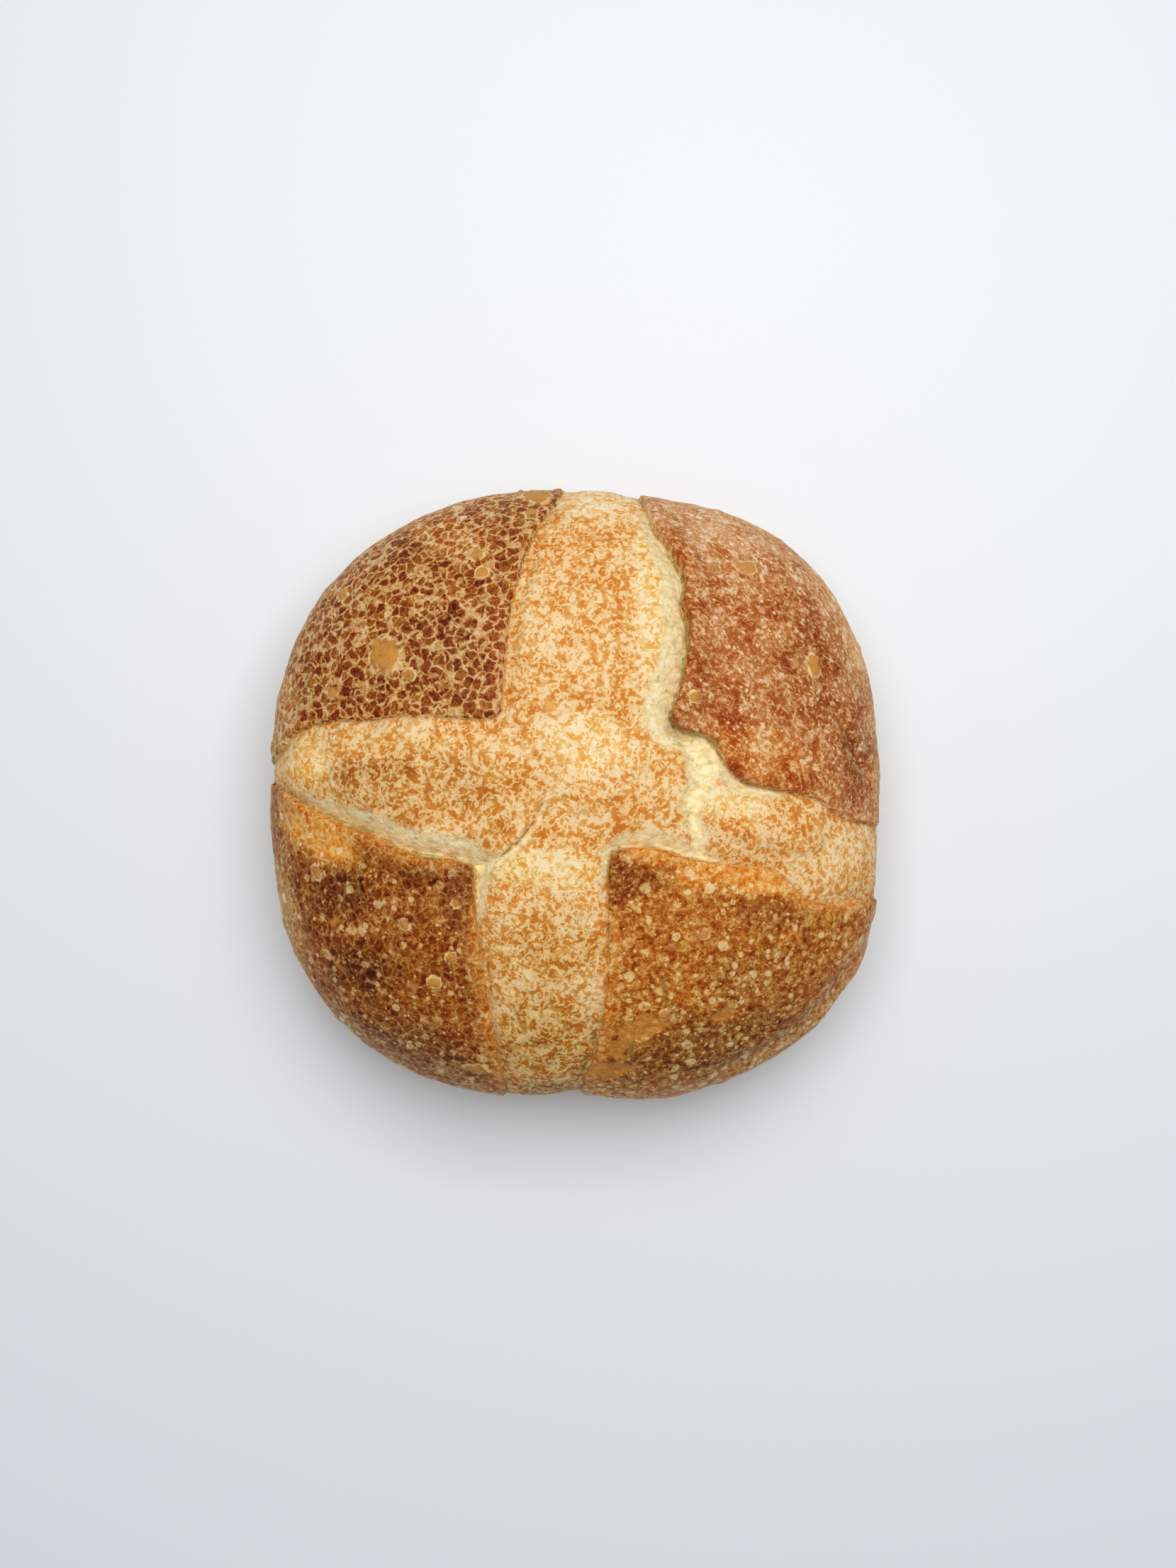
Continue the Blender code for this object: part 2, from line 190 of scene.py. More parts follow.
# Blisters and flakes, given one by one: x, y, half lengths along x and y, turn in degrees, height
BLISTERS = (
    (-58.3, 43.1, 5.4, 6.6, 12, 1.4), (-50.9, 36.8, 2.2, 2.2, 0, 0.8), (-73.4, 63.2, 1.9, 2.1, 0, 0.8),
    (-30.5, 74.8, 2.4, 2.2, 0, 0.7), (-28.8, 69.0, 2.2, 2.1, 0, 0.6), (-12.3, 94.6, 5.6, 2.6, -12, 1.4),
    (-13.6, 88.4, 2.3, 1.6, 5, 0.8), (54.3, 71.0, 3.6, 2.2, -14, 0.9), (75.2, 40.2, 1.9, 4.2, 18, 1.0),
    (36.9, 29.6, 1.9, 1.9, 0, 0.8), (-75.5, 32, 2.0, 2.4, 20, 0.5), (28.4, -68.2, 2.0, 1.8, 0, 1.1),
    (40, -43, 1.9, 1.6, 0, 0.8), (-52.4, -40, 1.4, 2.2, 30, 0.8), (-43.2, -58, 2.4, 1.8, -20, 0.9),
    (-38, -50, 1.9, 1.7, 0, 0.8), (-36, -33, 1.5, 1.6, 0, 0.8), (-81, -24.5, 1.5, 2.8, 25, 0.6),
    (-31, -86, 4.2, 1.6, -15, 0.8),
)

# Places where a flake has come off: x, y, half lengths, turn in degrees
PEELS = (
    (21.4, -72.4, 7.2, 3.6, 8), (10.8, -86.8, 7.0, 3.0, 4), (13.8, -79.4, 3.0, 2.6, 60),
    (47, -68.5, 4.6, 2.1, 28),
)

# Broad lumps under the crust: x, y, half lengths, turn in degrees, height
LUMPS = (
    (4, 3, 12.0, 9.0, 0, 1.0), (9, 50, 10.0, 24.0, 0, 1.0), (-8, -62, 9.0, 20.0, 0, 0.9),
    (-58, 4, 20.0, 8.0, 0, 0.9), (62, -12, 17.0, 6.5, -8, 1.2), (-62, -30, 7.0, 5.0, -20, 0.9),
    (-24, 3, 13.0, 11.0, 30, 1.1),
)

# Colours as they look in daylight, 0 to 255
LEOPARD_BROWN = (170, 112, 58)
RED_BROWN = (186, 124, 82)
DARK_BROWN = (152, 86, 30)
GOLD_BROWN = (178, 110, 42)
SIDE_TAN = (226, 178, 128)
SIDE_CREAM = (240, 196, 140)
BLOOM_GOLD = (230, 178, 118)
CRUMB_CREAM = (250, 236, 190)
CRUMB_YELLOW = (238, 211, 148)
# Painted shade of the torn crumb, in its hollows and beside the lips
SHADED_CRUMB_OLIVE = (170, 149, 68)
# Painted shade of the small holes in the torn crumb
HOLE_SHADE_BROWN = (112, 92, 34)
EDGE_ORANGE = (214, 150, 80)
# Painted shade along the foot of the flaps' lips
LIP_FOOT_SHADE_BROWN = (142, 94, 38)
BLISTER_GOLD = (202, 140, 62)
BLISTER_RIM = (238, 202, 136)
PEEL_ORANGE = (204, 134, 56)
CRACK_BROWN = (150, 114, 52)
UNDERSIDE = (142, 94, 52)
FLOOR_WHITE = (232, 237, 241)

# Red, green and blue shares that the crust's skin gives back of those colours
FLAP_WARMTH = (1.06, 0.99, 0.68)
BLOOM_WARMTH = (0.97, 0.90, 0.64)

# Tints of the flaps, one of them painted shade: x, y, half lengths, turn in degrees, colour, strength
FLAP_TINTS_AND_SHADE = (
    (-80, -13, 18, 8, -25, (236, 168, 88), 0.95), (-73, -31, 12, 9, 10, (112, 56, 16), 0.8),
    (-66, -55, 12, 9, -20, (106, 54, 18), 0.8), (-43, -25, 11, 4, 0, (118, 56, 16), 0.75),
    (-57, -37, 9, 13, 0, (160, 98, 44), 0.6), (-36, -34, 5, 10, 0, (116, 56, 20), 0.7),
    (-50, -80, 26, 9, -25, (136, 90, 46), 0.7), (62, -26, 34, 6, -3, (232, 164, 88), 0.9),
    (86, -28, 12, 9, 0, (230, 174, 108), 0.9), (20, -19, 14, 4, -5, (226, 152, 74), 0.8),
    (62, -37, 15, 6, -8, (148, 92, 46), 0.55), (46, -80, 38, 13, 12, (138, 90, 38), 0.8),
    (60, -58, 22, 14, 0, (156, 104, 56), 0.5), (-38, 82, 20, 8, -20, (204, 152, 98), 0.7),
    (-92, 20, 8, 24, 10, (216, 170, 116), 0.7), (-95, -36, 8, 22, 15, (204, 158, 106), 0.75),
    (88, 56, 10, 24, 25, (234, 192, 156), 0.75), (34, 22, 6, 5, 0, (156, 88, 44), 0.7),
    (38, 48, 5, 22, 0, (166, 104, 58), 0.5), (76, 42, 14, 26, 0, (164, 102, 56), 0.55),
    # The tint at 88, 13 is painted shade in the fold at the east shoulder
    (58, 13, 20, 9, -10, (202, 134, 72), 0.7), (88, 13, 8, 11, 0, (146, 90, 52), 0.6),
    (46, 84, 24, 12, -20, (212, 168, 138), 0.75), (-42, 46, 16, 14, 0, (150, 94, 50), 0.55),
    (-66, 33, 12, 7, 0, (150, 90, 44), 0.5), (-74, 58, 18, 18, 0, (176, 122, 70), 0.5),
    (-24, 48, 5, 30, 0, (178, 118, 70), 0.5),
)

# Painted shade at the flaps' inner corners, behind their high lips, laid over the orange edges of the flaps
CORNER_SHADE_TINTS = (
    (14, -26, 6, 13, 0, (138, 66, 10), 0.6), (19, -25, 11, 6, -12, (124, 56, 8), 0.55),
    (-34, -27, 5, 8, 0, (124, 64, 22), 0.6),
)

# Tints of the bloomed cross
ARM_TINTS = (
    (-60, 6, 17, 5, 0, (166, 102, 34), 0.8), (-34, 4.5, 10, 8, 0, (196, 130, 62), 0.6),
    (-46, 3, 30, 12, 0, (206, 150, 84), 0.6), (-88, 10, 13, 12, 0, (250, 202, 134), 0.9),
    (-60, 18, 30, 6, 0, (226, 180, 118), 0.5), (0, 70, 11, 14, 0, (224, 160, 98), 0.6),
    (24, 60, 7, 30, 0, (240, 206, 150), 0.85), (5, 93, 22, 7, 0, (248, 212, 172), 0.95),
    (4, 15, 16, 10, 0, (248, 214, 162), 0.75), (14, -6, 14, 8, 0, (226, 166, 102), 0.5),
    (-8, -22, 20, 8, 0, (242, 206, 148), 0.8), (-8, -50, 18, 18, 0, (212, 162, 96), 0.8),
    (-8, -78, 20, 16, 0, (200, 144, 70), 0.9), (-6, -96, 18, 8, 0, (176, 130, 80), 0.8),
    (60, -12, 16, 8, -8, (228, 166, 102), 0.6), (88, -18, 12, 14, 0, (236, 188, 134), 0.9),
    (-12, 3, 8, 8, 0, (216, 158, 92), 0.5), (-26, -12, 10, 6, 30, (206, 140, 66), 0.6),
    (48, -2, 14, 5, -10, (244, 212, 154), 0.8),
)

# Base colour of each flap, and its shares of net, streaks, spots and flecks
FLAP_LOOKS = {
    "north_west": (LEOPARD_BROWN, (1.0, 0.0, 0.30, 0.6)),
    "north_east": (RED_BROWN, (0.12, 1.0, 0.55, 1.0)),
    "south_west": (DARK_BROWN, (0.50, 0.0, 1.0, 1.0)),
    "south_east": (GOLD_BROWN, (0.20, 0.0, 1.0, 1.0)),
}
# Distance over which one flap's look runs into the next
FLAP_BLEND = 6.0

# The orange edge band: distances from the border, and heights between which it sets in
EDGE_BAND = (1.0, 5.6)
EDGE_FADE = (50.0, 62.0)
# Heights between which the top's colours and patterns take over from those lower down
UNDERSIDE_FADE = (0.5, 12.0)
FLAP_SIDE_FADE = (30.0, 66.0)
ARM_SIDE_FADE = (26.0, 54.0)
PATTERN_FADE = (30.0, 56.0)

# How far one step of pattern tone darkens or lightens the colour, as powers of two
FLAP_CONTRAST = -1.05
BLOOM_CONTRAST = -0.95

# Specks: spacing, radius and share of the places taken. Curls: size and half width
FLECKS = (1.9, 0.60, 0.42)
SPOTS = ((2.9, 1.05, 0.42), (4.6, 1.8, 0.42))
# The crumb's holes are painted shade: dark specks, most of them beside the lips
CRUMB_HOLE_SHADES = (2.4, 0.75, 0.40)
FLAP_CURLS = (2.1, 0.09)
BLOOM_CURLS = ((2.3, 0.10), (3.4, 0.08))

# Grain of the skin, in metres, and how much the crust shines
GRAIN_HEIGHT = 0.0009
GRAIN_STRENGTH = 0.8
CRUST_SHINE = 0.14

# Floor, camera and window, in metres and watts
FLOOR_WIDTH = 6.0
CAMERA_PLACE = (0.0041, 0.0034, 0.750)
CAMERA_LENS = 50.0
CAMERA_SENSOR = 36.0
WINDOW_PLACE = (0.08, 0.31, 1.05)
WINDOW_SIZE = (0.90, 0.78)
WINDOW_POWER = 9.85
WINDOW_COLOUR = (1.0, 0.99, 0.985)
ROOM_COLOUR = (0.90, 0.95, 1.0, 1.0)
ROOM_STRENGTH = 0.33


def smoothstep(low, high, values):
    share = np.clip((values - low) / (high - low), 0.0, 1.0)
    return share * share * (3.0 - 2.0 * share)


def linear(colour):
    """A 0 to 255 display colour as linear light."""
    share = np.array(colour, float) / 255.0
    return np.where(share <= 0.04045, share / 12.92, ((share + 0.055) / 1.055) ** 2.4)


def outline_radius(angles):
    weights = {turn: np.maximum(0.0, np.cos(angles - math.radians(turn))) ** 2 for turn in CORNER_POWERS}
    total = sum(weights.values())
    power = sum(weights[turn] * CORNER_POWERS[turn] for turn in weights) / total
    across = np.abs(np.cos(angles)) / (WIDTH / 2)
    along = np.abs(np.sin(angles)) / (DEPTH / 2)
    radius = (across**power + along**power) ** (-1.0 / power)
    for turn, height, spread in OUTLINE_BUMPS:
        away = (np.degrees(angles) - turn + 180.0) % 360.0 - 180.0
        radius = radius + height * np.exp(-((away / spread) ** 2))
    return radius


def dome_height(x, y):
    share = np.clip(np.hypot(x, y) / outline_radius(np.arctan2(y, x)), 0.0, 1.0)
    return BELLY_HEIGHT + (HEIGHT - BELLY_HEIGHT) * (1.0 - share**DOME_POWER) ** (1.0 / DOME_POWER)


def meridian(steps=600):
    """Share of the way down the skin, radius share and height, from the crown to the edge of the base."""
    turn = np.linspace(0.0, math.pi / 2, steps)
    dome_r = np.sin(turn) ** (2.0 / DOME_POWER)
    dome_z = BELLY_HEIGHT + (HEIGHT - BELLY_HEIGHT) * np.cos(turn) ** (2.0 / DOME_POWER)
    under_r = BASE_SHARE + (1.0 - BASE_SHARE) * np.cos(turn) ** (2.0 / UNDER_POWER)
    under_z = BELLY_HEIGHT * (1.0 - np.sin(turn) ** (2.0 / UNDER_POWER))
    radius = np.concatenate([dome_r, under_r[1:]])
    height = np.concatenate([dome_z, under_z[1:]])
    lengths = np.hypot(np.diff(radius) * WIDTH / 2, np.diff(height))
    share = np.concatenate([[0.0], np.cumsum(lengths)])
    return share / share[-1], radius, height


def loaf_skin(cube):
    """The smooth loaf's points for points on a cube from -1 to 1."""
    top = cube[:, 2] > CUBE_FACE
    warped = np.tan(cube[:, :2] * math.pi / 4)
    angles = np.arctan2(warped[:, 1], warped[:, 0])
    reach = np.arctan(np.hypot(warped[:, 0], warped[:, 1]))
    edge = reach * CROWN_SHARE / math.atan(math.sqrt(2.0))
    down = (1.0 - cube[:, 2]) / 2.0
    share = np.where(top, edge, edge + (1.0 - edge) * down)
    inward = np.where(cube[:, 2] < -CUBE_FACE, np.abs(cube[:, :2]).max(axis=1), 1.0)
    skin_share, skin_radius, skin_height_at = meridian()
    radius = np.interp(share, skin_share, skin_radius) * outline_radius(angles) * inward
    height = np.interp(share, skin_share, skin_height_at)
    return np.stack([radius * np.cos(angles), radius * np.sin(angles), height], axis=1)


def rounded(points, rounds=2):
    """The polyline with its corners cut, so that it runs as a curve."""
    line = np.array(points, float)
    for _ in range(rounds):
        ahead = 0.75 * line[:-1] + 0.25 * line[1:]
        behind = 0.25 * line[:-1] + 0.75 * line[1:]
        middle = np.stack([ahead, behind], axis=1).reshape(-1, line.shape[1])
        line = np.concatenate([line[:1], middle, line[-1:]])
    return line


def nearest_on(line, x, y):
    """Each point's distance to the line, the direction away from it, and the line's other values there."""
    best = np.full(len(x), np.inf)
    away = np.zeros((len(x), 2))
    values = np.zeros((len(x), line.shape[1] - 2))
    for first, last in zip(line[:-1], line[1:]):
        step = last[:2] - first[:2]
        along = np.clip(((x - first[0]) * step[0] + (y - first[1]) * step[1]) / (step @ step), 0.0, 1.0)
        gap_x = x - (first[0] + along * step[0])
        gap_y = y - (first[1] + along * step[1])
        gap = np.hypot(gap_x, gap_y)
        closer = gap < best
        best[closer] = gap[closer]
        safe = np.maximum(gap[closer], 1e-9)
        away[closer, 0] = gap_x[closer] / safe
        away[closer, 1] = gap_y[closer] / safe
        values[closer] = first[2:] + along[closer, None] * (last[2:] - first[2:])
    return best, away, values


def inside(outline, x, y):
    found = np.zeros(len(x), bool)
    for (x0, y0), (x1, y1) in zip(outline, np.roll(outline, -1, axis=0)):
        if y0 != y1:
            found ^= ((y0 > y) != (y1 > y)) & (x < (x1 - x0) * (y - y0) / (y1 - y0) + x0)
    return found


def flap_fields(x, y):
    """For each flap: distance into it (negative outside), the direction into it, and its lip's height."""
    fields = {}
    for name, border in FLAPS.items():
        line = rounded(border)
        gap, away, values = nearest_on(line, x, y)
        within = inside(np.concatenate([line[:, :2], np.array(FLAP_CORNERS[name], float)]), x, y)
        signed = np.where(within, gap, -gap)
        fields[name] = (signed, np.where(within[:, None], away, -away), values[:, 0])
    return fields


def nearest_flap(fields):
    """The three values of the nearest flap."""
    names = list(fields)
    signed = np.stack([fields[name][0] for name in names])
    chosen = np.argmax(signed, axis=0)
    here = np.arange(signed.shape[1])
    inward = np.stack([fields[name][1] for name in names])[chosen, here]
    lip = np.stack([fields[name][2] for name in names])[chosen, here]
    return signed[chosen, here], inward, lip


def uneven(points, size, seed, stretch=(1.0, 1.0, 1.0)):
    """Smooth noise from about -1 to 1 with lumps of this size."""
    places = np.asarray(points) / size * np.array(stretch) + seed * np.array([17.3, 5.1, 29.7])
    return np.array([noise.noise(place) for place in places])


def layered(points, layers):
    """Unevenness of several sizes together."""
    return sum(height * uneven(points, size, seed) for size, height, seed in layers)


def oval(x, y, centre_x, centre_y, long_x, long_y, turn):
    """Squared distance from an oval's middle, 1 on its rim."""
    cosine, sine = math.cos(math.radians(turn)), math.sin(math.radians(turn))
    across = ((x - centre_x) * cosine + (y - centre_y) * sine) / long_x
    along = ((y - centre_y) * cosine - (x - centre_x) * sine) / long_y
    return across**2 + along**2


def line_field(lines, x, y):
    """How far inside the widest line each point is, in mm, and the deepest line's depth there."""
    within = np.full(len(x), -FAR)
    depth = np.zeros(len(x))
    for points in lines:
        gap, _, values = nearest_on(rounded(points), x, y)
        share = np.clip(gap / np.maximum(values[:, 0], 0.1), 0.0, 1.0)
        within = np.maximum(within, values[:, 0] - gap)
        depth = np.maximum(depth, values[:, 1] * (1.0 - share**2) ** 1.5)
    return within, depth


def snapped(points):
    """The grid with the points near a flap border moved onto it, so that its edges follow the tear."""
    depth, inward, _ = nearest_flap(flap_fields(points[:, 0], points[:, 1]))
    share = np.clip(np.abs(depth) / SNAP_REACH, 1e-6, 1.0)
    wanted = np.sign(depth) * SNAP_REACH * share**SNAP_POWER
    wanted = np.where(np.abs(wanted) < SNAP_GAP, 0.0, wanted)
    near = (np.abs(depth) < SNAP_REACH) & (points[:, 2] > SNAP_FADE[0])
    move = np.where(near, wanted - depth, 0.0) * smoothstep(*SNAP_FADE, points[:, 2])
    x = points[:, 0] + inward[:, 0] * move
    y = points[:, 1] + inward[:, 1] * move
    height = np.where(near, dome_height(x, y), points[:, 2])
    return np.stack([x, y, height], axis=1)


def flap_relief(depth, lip, on_flap):
    """How far the flaps stand out: level inside, highest along the torn lip, with its edge rounded."""
    into = np.maximum(depth, 0.0)
    rounding = LIP_ROUNDING * np.clip(1.0 - into / LIP_ROUND_REACH, 0.0, 1.0) ** 2 * lip
    return on_flap * (FLAP_RISE + lip * np.exp(-((into / LIP_REACH) ** 2)) - rounding)


def arm_relief(depth):
    """How far the bloomed cross swells between the flaps."""
    shoulder = np.clip(-depth / ARM_SHOULDER, 0.0, 1.0)
    return ARM_RISE * (1.0 - (1.0 - shoulder) ** 2)


def tear_relief(depth, lip, on_flap):
    """How deep the crust is torn beside the lips."""
    strip = np.clip(1.0 + depth / np.maximum(TEAR_REACH * lip, 0.3), 0.0, 1.0) * (1.0 - on_flap)
    return TEAR_DEPTH * lip * strip**1.4


def torn_field(depth, lip, on_flap, rift):
    """How far inside the torn crumb each point is, in mm: beside the standing lips and in the rifts."""
    tear = TEAR_REACH * lip + depth
    tear = np.where(lip > TORN_LIP, tear, tear - FAR * (TORN_LIP - lip))
    return np.maximum(tear, rift) * (1.0 - on_flap) - FAR * on_flap


def skin_relief(points, on_flap, torn_mask):
    """Fibres in the torn crumb, wrinkles on the bloom, and pebbles on the flaps and sides."""
    z = points[:, 2]
    top = smoothstep(*SKIN_FADE, z)
    fibres = 0.35 * uneven(points, 2.4, 5, (0.5, 1.0, 1.0)) + 0.5 * uneven(points, 5.0, 6)
    wrinkles = layered(points, WRINKLES) + 0.24 * (1.0 - 3.0 * np.abs(uneven(points, 3.0, 9)))
    bloom = (1.0 - on_flap) * (1.0 - torn_mask)
    rise = fibres * torn_mask + wrinkles * bloom * top
    pebbles = layered(points, PEBBLES) * np.maximum(on_flap, 1.0 - top)
    return rise + pebbles * smoothstep(*PEBBLE_FADE, z)


def lump_relief(x, y):
    rise = np.zeros(len(x))
    for *place, height in LUMPS:
        rise += height * np.clip(1.0 - oval(x, y, *place), 0.0, None) ** 0.75
    return rise


def hand_blisters(x, y, z, ragged):
    """Height and mask of the listed blisters."""
    rise = np.zeros(len(x))
    mask = np.zeros(len(x))
    for *place, height in BLISTERS:
        raggedness = 1.0 + (0.5 + 0.15 * place[2]) * ragged
        away = oval(x, y, *place) * raggedness
        inner = np.clip(1.0 - np.sqrt(np.maximum(away, 0.0)), 0.0, 1.0)
        rise += BLISTER_RISE * height * np.clip(1.0 - away, 0.0, None) ** 0.6
        mask = np.maximum(mask, inner * (z > BLISTER_LOWEST))
    return rise, mask


def small_blisters(points, on_crust):
    """Height and mask of the many small blisters of the flaps and the sides."""
    random = np.random.RandomState(SMALL_SEED)
    rise = np.zeros(len(points))
    mask = np.zeros(len(points))
    candidates = np.flatnonzero((points[:, 2] > SMALL_LOWEST) & (on_crust > 0.5))
    for start in random.choice(candidates, SMALL_COUNT, replace=False):
        radius = SMALL_RADIUS + SMALL_SPREAD * random.random() ** 2.5
        offset = points - points[start]
        near = np.flatnonzero(np.abs(offset).max(axis=1) < radius)
        share = np.clip(np.sqrt((offset[near] ** 2).sum(axis=1)) / radius, 0.0, 1.0)
        dome = (1.0 - share**2) ** 0.6
        rise[near] = np.maximum(rise[near], SMALL_RISE * radius * dome)
        mask[near] = np.maximum(mask[near], 1.0 - share)
    return rise, mask


def peel_field(x, y, z, ragged):
    """Where a flake has come off: above 0 inside its rim, up to 1 in its middle."""
    peel = np.full(len(x), -1.0)
    for place in PEELS:
        away = oval(x, y, *place) * (1.0 + 1.6 * ragged)
        inner = np.where(z > PEEL_LOWEST, 1.0 - np.sqrt(np.maximum(away, 0.0)), -1.0)
        peel = np.maximum(peel, inner)
    return peel


def lip_lean(depth, lip, ragged, z):
    """How far the crust beside a lip leans out over the tear, with the lip's nibbled edge."""
    lean = OVERHANG * lip * np.exp(-((depth / OVERHANG_REACH) ** 2)) * (depth > ON_FLAP)
    nibbled = NIBBLE * ragged * np.clip(lip, 0.0, 1.0) * np.exp(-((depth / NIBBLE_REACH) ** 2))
    return lean * smoothstep(*OVERHANG_FADE, z) + nibbled * smoothstep(*FLAP_FADE, z)


def crust_relief(points, normals):
    """The points moved out to the crust's real surface, and the fields that its colours follow."""
    x, y, z = points.T
    ragged = layered(points, RAGGED)
    fields = flap_fields(x, y)
    depth, inward, lip = nearest_flap(fields)
    fade = smoothstep(*FLAP_FADE, z)
    on_flap = np.where(depth > ON_FLAP, 1.0, 0.0)
    rift, rift_depth = line_field(RIFTS, x + 2.0 * ragged, y + 2.0 * ragged)
    _, fold_depth = line_field(FOLDS, x, y)
    crack, crack_depth = line_field(CRACKS, x + 1.8 * ragged, y + 1.8 * ragged)
    torn = torn_field(depth, lip, on_flap, rift)
    torn_mask = smoothstep(-1.5, 2.5, torn + 1.5 * ragged) * fade

    rise = flap_relief(depth, lip, on_flap) * fade + arm_relief(depth) * smoothstep(*ARM_FADE, z)
    rise -= (tear_relief(depth, lip, on_flap) + rift_depth * (1.0 - on_flap)) * fade
    rise += skin_relief(points, on_flap, torn_mask) + lump_relief(x, y) * fade
    blister_rise, blister = hand_blisters(x, y, z, ragged)
    peel = peel_field(x, y, z, ragged)
    small_rise, small = small_blisters(points, np.maximum(on_flap, 1.0 - fade))
    rise += blister_rise * fade - PEEL_DEPTH * smoothstep(-0.02, 0.12, peel)
    rise += small_rise * (peel < 0.0)
    rise -= (fold_depth + crack_depth) * smoothstep(*FOLD_FADE, z)
    rise += layered(points, SWELLS) * smoothstep(*SWELL_FADE, z)

    moved = points + normals * rise[:, None]
    moved[:, :2] -= inward * lip_lean(depth, lip, ragged, z)[:, None]
    near_lip = np.exp(-np.maximum(-depth, 0.0) / NEAR_LIP) * np.clip(lip / NEAR_LIP, 0.0, 1.0)
    return moved, {
        "fields": fields, "depth": depth, "lip": lip, "torn": torn, "ragged": ragged,
        "crack": np.clip(crack / 0.7 + 0.2, 0.0, 1.0), "blister": blister, "small": small,
        "near_lip": near_lip, "peel": peel,
    }


def towards(colours, colour, share):
    """The colours with this share of another colour, given as 0 to 255."""
    return colours + (linear(colour) - colours) * share[:, None]


def tinted(colours, tints, x, y, wobble):
    """The colours with each soft-edged tint laid over them."""
    for *place, colour, strength in tints:
        away = np.sqrt(oval(x, y, *place)) + 0.28 * wobble
        colours = towards(colours, colour, strength * (1.0 - smoothstep(0.45, 1.25, away)))
    return colours


def flap_shares(fields):
    """How much each flap counts at each point, together 1."""
    weights = {name: np.exp(np.clip(fields[name][0], -60.0, 60.0) / FLAP_BLEND) for name in FLAP_LOOKS}
    total = sum(weights.values())
    return {name: weight / total for name, weight in weights.items()}


def crust_colours(points, marks):
    """Middle colours of flaps and bloom at each point, and how strong each crust pattern is there."""
    x, y, z = points.T
    wobble = layered(points, TINT_WOBBLE)
    share = flap_shares(marks["fields"])
    southern = share["south_west"] + share["south_east"]
    depth = marks["depth"] + 0.6 * marks["ragged"]
    edge = (1.0 - smoothstep(*EDGE_BAND, np.abs(depth))) * smoothstep(*EDGE_FADE, z)
    under = 0.75 * (1.0 - smoothstep(*UNDERSIDE_FADE, z + 2.0 * wobble))

    flap = sum(share[name][:, None] * linear(colour) for name, (colour, _) in FLAP_LOOKS.items())
    flap = tinted(flap, FLAP_TINTS_AND_SHADE, x, y, wobble)
    flap = towards(flap, EDGE_ORANGE, edge * (0.10 + 0.52 * southern))
    # Painted shade at the flaps' inner corners
    flap = tinted(flap, CORNER_SHADE_TINTS, x, y, wobble)
    flap = towards(flap, SIDE_TAN, 0.88 * (1.0 - smoothstep(*FLAP_SIDE_FADE, z + 5.0 * wobble)))
    flap = towards(flap, UNDERSIDE, under) * np.array(FLAP_WARMTH)

    arm = tinted(np.tile(linear(BLOOM_GOLD), (len(x), 1)), ARM_TINTS, x, y, wobble)
    arm = towards(arm, EDGE_ORANGE, 0.3 * edge * (1.0 - smoothstep(0.9, 1.6, marks["lip"])))
    arm = towards(arm, SIDE_CREAM, 0.8 * (1.0 - smoothstep(*ARM_SIDE_FADE, z + 5.0 * wobble)))
    arm = towards(arm, UNDERSIDE, under) * np.array(BLOOM_WARMTH)

    pattern = sum(share[name][:, None] * np.array(parts) for name, (_, parts) in FLAP_LOOKS.items())
    top = smoothstep(*PATTERN_FADE, z)
    net, streaks = 0.35 + 0.65 * top, 0.5 + 0.5 * top
    spots, flecks = (0.7 + 0.3 * top) * (1.0 - 0.8 * edge), 1.0 - 0.7 * edge
    return flap, arm, pattern * np.stack([net, streaks, spots, flecks], axis=1)


def add_value(mesh, name, values):
    mesh.attributes.new(name, "FLOAT", "POINT").data.foreach_set("value", np.asarray(values, np.float32))


def add_colour(mesh, name, colours):
    full = np.ones((len(colours), 4), np.float32)
    full[:, : colours.shape[1]] = colours
    mesh.attributes.new(name, "FLOAT_COLOR", "POINT").data.foreach_set("color", full.ravel())


def read_points(mesh):
    points = np.empty(len(mesh.vertices) * 3)
    mesh.vertices.foreach_get("co", points)
    return points.reshape(-1, 3)


def write_points(mesh, points):
    mesh.vertices.foreach_set("co", np.asarray(points, np.float32).ravel())
    mesh.update()


def select_edges(obj, upright):
    """Selects the edges that stand up, or those that lie level."""
    bpy.ops.object.mode_set(mode="OBJECT")
    mesh = obj.data
    height = read_points(mesh)[:, 2]
    ends = np.empty(len(mesh.edges) * 2, int)
    mesh.edges.foreach_get("vertices", ends)
    ends = ends.reshape(-1, 2)
    stands = np.abs(height[ends[:, 0]] - height[ends[:, 1]]) > 0.1
    chosen = stands if upright else ~stands
    mesh.polygons.foreach_set("select", np.zeros(len(mesh.polygons), bool))
    mesh.vertices.foreach_set("select", np.isin(np.arange(len(mesh.vertices)), ends[chosen]))
    mesh.edges.foreach_set("select", chosen)
    bpy.ops.object.mode_set(mode="EDIT")


